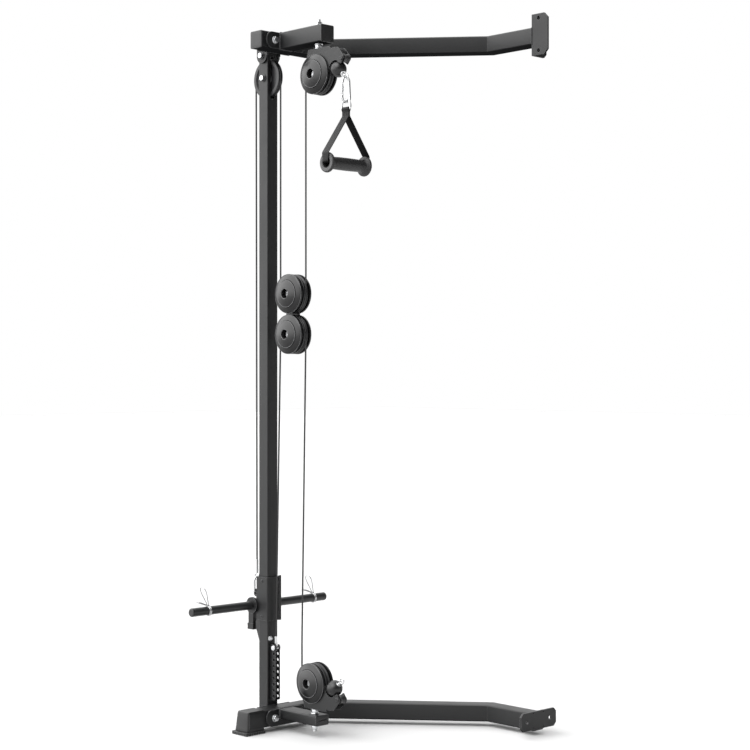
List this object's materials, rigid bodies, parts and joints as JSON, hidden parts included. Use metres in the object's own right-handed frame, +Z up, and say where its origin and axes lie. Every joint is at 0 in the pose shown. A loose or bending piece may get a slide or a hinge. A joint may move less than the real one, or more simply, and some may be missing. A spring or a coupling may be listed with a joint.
{
  "type": "cable pulldown tower",
  "caption": "Rack-mounted plate-loaded cable tower: mast, sliding weight carriage, floating pulley block, high and low swivel pulleys and a strap handle.",
  "frame": {"origin": "on the floor, on the axis of the mast", "axes": "+Z up, -Y towards the user, +X along the cross tubes towards the side where the arms run to the rack"},
  "size_m": [0.816, 0.786, 2.092],
  "materials": {
    "powder_coat": "matte powder coat",
    "horn_bar": "satin",
    "zinc": "zinc plated",
    "chrome": "polished",
    "cover_plastic": "satin",
    "pulley_nylon": "satin",
    "plain_plastic": "matte",
    "rubber": "matte",
    "grip_rubber": "fine texture",
    "webbing": "woven nylon",
    "cable_jacket": "smooth"
  },
  "bodies": {
    "root": {"mast": "powder_coat", "mast_head_bracket": "powder_coat", "mast_bolts": "zinc", "top_arm": "powder_coat", "top_rack_bracket": "powder_coat", "top_front_tube": "powder_coat", "tube_caps": "plain_plastic", "flange_bolts": "zinc", "base_arm": "powder_coat", "foot_cap": "plain_plastic", "foot_sole": "rubber", "base_rack_plate": "powder_coat", "base_front_tube": "powder_coat", "anchor_channel": "powder_coat", "anchor_fitting": "chrome", "carriage_stop": "plain_plastic", "swivel_bolts": "zinc", "high_cable_rear_run": "cable_jacket", "high_cable_head_wrap": "cable_jacket", "high_cable_front_runs": "cable_jacket", "low_cable_runs": "cable_jacket"},
    "head_wheel": {"head_pulley": "pulley_nylon"},
    "carriage": {"carriage_sleeve": "powder_coat", "carriage_liner": "plain_plastic", "carriage_screws": "zinc", "carriage_saddle": "powder_coat", "carriage_bumper": "rubber", "weight_horns": "horn_bar", "horn_collars": "powder_coat", "horn_caps": "plain_plastic", "carriage_link": "chrome"},
    "left_clip": {"clip_left": "chrome"},
    "right_clip": {"clip_right": "chrome"},
    "float_block": {"block_plates": "powder_coat", "block_covers": "cover_plastic", "block_axles": "zinc", "block_cables": "cable_jacket"},
    "block_upper_wheel": {"block_upper_pulley": "pulley_nylon"},
    "block_lower_wheel": {"block_lower_pulley": "pulley_nylon"},
    "top_swivel_bracket": {"top_bracket": "powder_coat", "top_covers": "cover_plastic", "top_axle": "zinc", "top_bracket_cable": "cable_jacket"},
    "top_wheel": {"top_pulley": "pulley_nylon"},
    "top_guide_roller": {"top_roller": "plain_plastic"},
    "high_stop": {"high_ball": "rubber", "high_eye": "chrome"},
    "bottom_swivel_bracket": {"bottom_bracket": "powder_coat", "bottom_covers": "cover_plastic", "bottom_axle": "zinc", "bottom_bracket_cable": "cable_jacket"},
    "bottom_wheel": {"bottom_pulley": "pulley_nylon"},
    "bottom_guide_roller": {"bottom_roller": "plain_plastic"},
    "low_stop": {"low_ball": "rubber", "low_eye": "chrome"},
    "snap_hook": {"carabiner": "chrome"},
    "snap_gate": {"carabiner_gate": "chrome"},
    "handle": {"handle_link": "chrome", "handle_strap": "webbing"},
    "grip": {"handle_grip": "grip_rubber"}
  },
  "joints": [
    {"name": "carriage_lift", "type": "slide", "parent": "root", "child": "carriage", "axis": [0, 0, 1], "range_m": [0, 1.3], "deforming": ["high_cable_rear_run"]},
    {"name": "head_wheel_spin", "type": "hinge", "parent": "root", "child": "head_wheel", "pos_m": [0, 0, 1.931], "axis": [1, 0, 0], "range_deg": [0, 1335]},
    {"name": "block_drop", "type": "slide", "parent": "root", "child": "float_block", "axis": [0, 0, -1], "range_m": [0, 0.5], "stiffness_N_per_m": 20, "springref_m": -0.5, "deforming": ["high_cable_front_runs", "low_cable_runs"]},
    {"name": "block_upper_spin", "type": "hinge", "parent": "float_block", "child": "block_upper_wheel", "pos_m": [0, -0.112, 1.285], "axis": [-1, 0, 0], "range_deg": [0, 1335]},
    {"name": "block_lower_spin", "type": "hinge", "parent": "float_block", "child": "block_lower_wheel", "pos_m": [0, -0.112, 1.166], "axis": [1, 0, 0], "range_deg": [0, 515]},
    {"name": "top_swivel", "type": "hinge", "parent": "root", "child": "top_swivel_bracket", "pos_m": [0, -0.224, 2.005], "axis": [0, 0, 1], "range_deg": [-20, 20]},
    {"name": "top_wheel_spin", "type": "hinge", "parent": "top_swivel_bracket", "child": "top_wheel", "pos_m": [0, -0.224, 1.915], "axis": [1, 0, 0], "range_deg": [0, 1335]},
    {"name": "top_roller_spin", "type": "hinge", "parent": "top_swivel_bracket", "child": "top_guide_roller", "pos_m": [0, -0.334, 1.948], "axis": [1, 0, 0], "continuous": true},
    {"name": "high_pull", "type": "slide", "parent": "top_swivel_bracket", "child": "high_stop", "axis": [0, -0.788, -0.6157], "range_m": [0, 1.3]},
    {"name": "hook_swing", "type": "hinge", "parent": "high_stop", "child": "snap_hook", "pos_m": [0, -0.33925, 1.89602], "axis": [1, 0, 0], "range_deg": [-80, 20]},
    {"name": "gate_press", "type": "hinge", "parent": "snap_hook", "child": "snap_gate", "pos_m": [-0.015, -0.33925, 1.84462], "axis": [0, 1, 0], "range_deg": [0, 25], "stiffness_Nm_per_rad": 0.05, "springref_deg": -28.65},
    {"name": "handle_swing", "type": "hinge", "parent": "snap_hook", "child": "handle", "pos_m": [0, -0.33925, 1.82262], "axis": [1, 0, 0], "range_deg": [-20, 15]},
    {"name": "grip_spin", "type": "hinge", "parent": "handle", "child": "grip", "pos_m": [0, -0.33925, 1.646], "axis": [1, 0, 0], "continuous": true},
    {"name": "bottom_swivel", "type": "hinge", "parent": "root", "child": "bottom_swivel_bracket", "pos_m": [0, -0.207, 0.065], "axis": [0, 0, 1], "range_deg": [-20, 20]},
    {"name": "bottom_wheel_spin", "type": "hinge", "parent": "bottom_swivel_bracket", "child": "bottom_wheel", "pos_m": [0, -0.207, 0.155], "axis": [-1, 0, 0], "range_deg": [0, 1030]},
    {"name": "bottom_roller_spin", "type": "hinge", "parent": "bottom_swivel_bracket", "child": "bottom_guide_roller", "pos_m": [0, -0.317, 0.122], "axis": [1, 0, 0], "continuous": true},
    {"name": "low_pull", "type": "slide", "parent": "bottom_swivel_bracket", "child": "low_stop", "axis": [0, -0.788, 0.6157], "range_m": [0, 1]},
    {"name": "left_clip_slide", "type": "slide", "parent": "carriage", "child": "left_clip", "axis": [1, 0, 0], "range_m": [-0.05, 0.15]},
    {"name": "right_clip_slide", "type": "slide", "parent": "carriage", "child": "right_clip", "axis": [1, 0, 0], "range_m": [-0.125, 0.035]}
  ],
  "couplings": [
    {"joint": "head_wheel_spin", "follows": "carriage_lift", "rad_per_m": 17.857},
    {"joint": "block_upper_spin", "follows": "carriage_lift", "rad_per_m": 17.857},
    {"joint": "top_wheel_spin", "follows": "carriage_lift", "rad_per_m": 17.857},
    {"joint": "high_pull", "follows": "carriage_lift", "ratio": 1},
    {"joint": "low_pull", "follows": "block_drop", "ratio": 2},
    {"joint": "bottom_wheel_spin", "follows": "block_drop", "rad_per_m": 35.714},
    {"joint": "block_lower_spin", "follows": "block_drop", "rad_per_m": 17.857}
  ]
}
